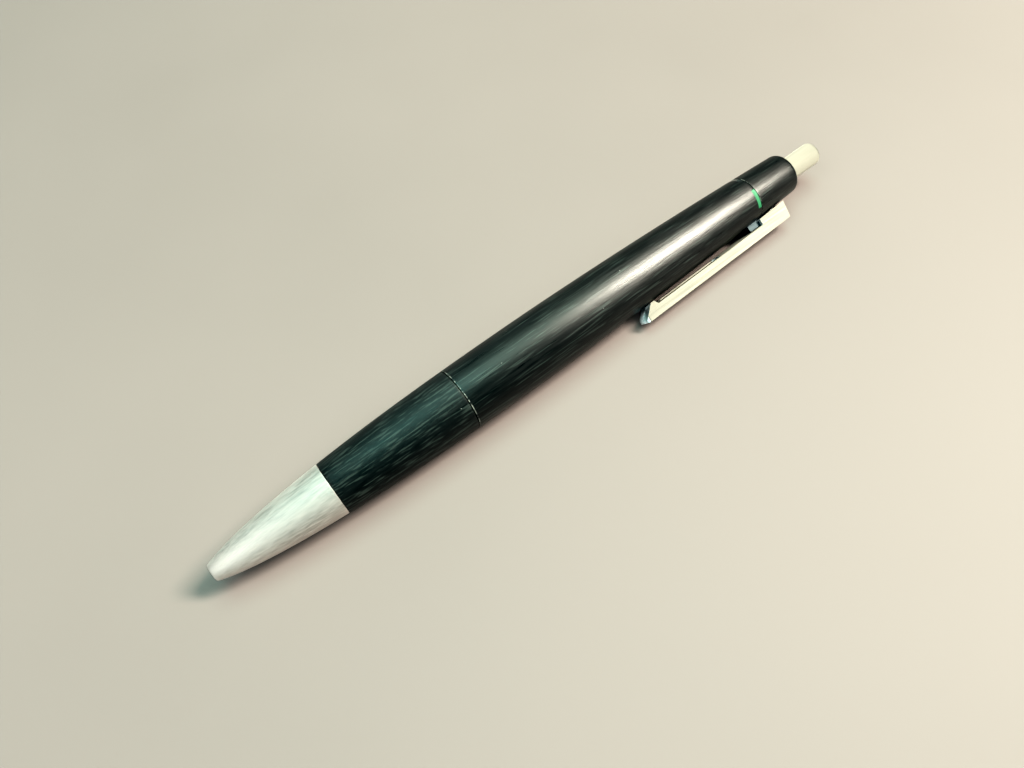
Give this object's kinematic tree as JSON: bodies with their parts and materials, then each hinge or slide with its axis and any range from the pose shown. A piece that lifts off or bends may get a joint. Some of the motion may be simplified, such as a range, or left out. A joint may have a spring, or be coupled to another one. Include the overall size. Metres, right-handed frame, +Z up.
{
  "type": "retractable multi-colour pen",
  "caption": "Slim retractable multi-colour pen with a steel nose, push button and sprung clip, and a brushed black barrel.",
  "frame": {"origin": "under the middle of the pen, on the surface it lies on", "axes": "+X along the pen from the nose to the push button, +Z up as it lies on its barrel and clip"},
  "size_m": [0.1396, 0.0144, 0.0123],
  "materials": {
    "steel": "lengthwise brushed",
    "black_body": "lengthwise brushed, satin",
    "pale_plastic": "moulded",
    "brass": "turned",
    "spring_steel": "drawn wire",
    "green_enamel": "gloss",
    "black_enamel": "gloss",
    "red_enamel": "gloss",
    "blue_enamel": "gloss"
  },
  "bodies": {
    "barrel_body": {"rear_barrel": "black_body", "threaded_insert": "brass", "end_cap": "black_body", "button_bush": "pale_plastic", "spring_seat": "pale_plastic", "channel_guide": "pale_plastic", "green_mark": "green_enamel", "black_mark": "black_enamel", "red_mark": "red_enamel", "clip_bracket": "steel", "clip_pin": "steel", "clip_spring": "spring_steel", "button_spring": "spring_steel", "green_carrier_spring": "spring_steel", "red_carrier_spring": "spring_steel", "black_carrier_spring": "spring_steel", "blue_carrier_spring": "spring_steel", "black_carrier": "black_enamel", "blue_carrier": "blue_enamel", "black_refill_tube": "spring_steel", "black_refill_tip": "brass", "blue_refill_tube": "spring_steel", "blue_refill_tip": "brass"},
    "front_section": {"nose_cone": "steel", "front_sleeve": "black_body"},
    "button": {"push_button": "steel", "push_rod": "pale_plastic", "selector_washer": "spring_steel"},
    "selector": {"selector_weight": "brass", "selector_finger": "spring_steel"},
    "green_carriage": {"green_carrier": "green_enamel"},
    "green_refill": {"green_refill_tube": "spring_steel", "green_refill_tip": "brass"},
    "red_carriage": {"red_carrier": "red_enamel"},
    "red_refill": {"red_refill_tube": "spring_steel", "red_refill_tip": "brass"},
    "clip_body": {"clip": "steel"}
  },
  "joints": [
    {"name": "button_press", "type": "slide", "parent": "barrel_body", "child": "button", "axis": [-1, 0, 0], "range_m": [0, 0.0082], "stiffness_N_per_m": 60, "deforming": ["button_spring"]},
    {"name": "selector_turn", "type": "hinge", "parent": "button", "child": "selector", "pos_m": [0.04305, 0.00104, 0.00613], "axis": [1, 0, 0], "range_deg": [-360, 0]},
    {"name": "green_carrier_slide", "type": "slide", "parent": "barrel_body", "child": "green_carriage", "axis": [-1, 0, 0], "range_m": [0, 0.0082], "deforming": ["green_carrier_spring"]},
    {"name": "green_refill_tilt", "type": "hinge", "parent": "green_carriage", "child": "green_refill", "pos_m": [0.00275, -0.00054, 0.00781], "axis": [0, -0.729, -0.6845], "range_deg": [0, 2]},
    {"name": "red_carrier_slide", "type": "slide", "parent": "barrel_body", "child": "red_carriage", "axis": [1, 0, 0], "range_m": [-0.0082, 0], "stiffness_N_per_m": 30, "deforming": ["red_carrier_spring"]},
    {"name": "red_refill_tilt", "type": "hinge", "parent": "red_carriage", "child": "red_refill", "pos_m": [0.00275, 0.00261, 0.00445], "axis": [0, 0.729, 0.6845], "range_deg": [0, 2]},
    {"name": "clip_open", "type": "hinge", "parent": "barrel_body", "child": "clip_body", "pos_m": [0.05225, -0.00362, 0.0032], "axis": [0, -0.5329, 0.8462], "range_deg": [0, 4], "stiffness_Nm_per_rad": 1, "deforming": ["clip_spring"]},
    {"name": "front_section_slide", "type": "slide", "parent": "barrel_body", "child": "front_section", "axis": [-1, 0, 0], "range_m": [0, 0.05]}
  ],
  "couplings": [
    {"joint": "green_carrier_slide", "follows": "button_press", "ratio": 1},
    {"joint": "green_refill_tilt", "follows": "button_press", "rad_per_m": 4.2507},
    {"joint": "red_refill_tilt", "follows": "red_carrier_slide", "rad_per_m": -4.2507}
  ]
}
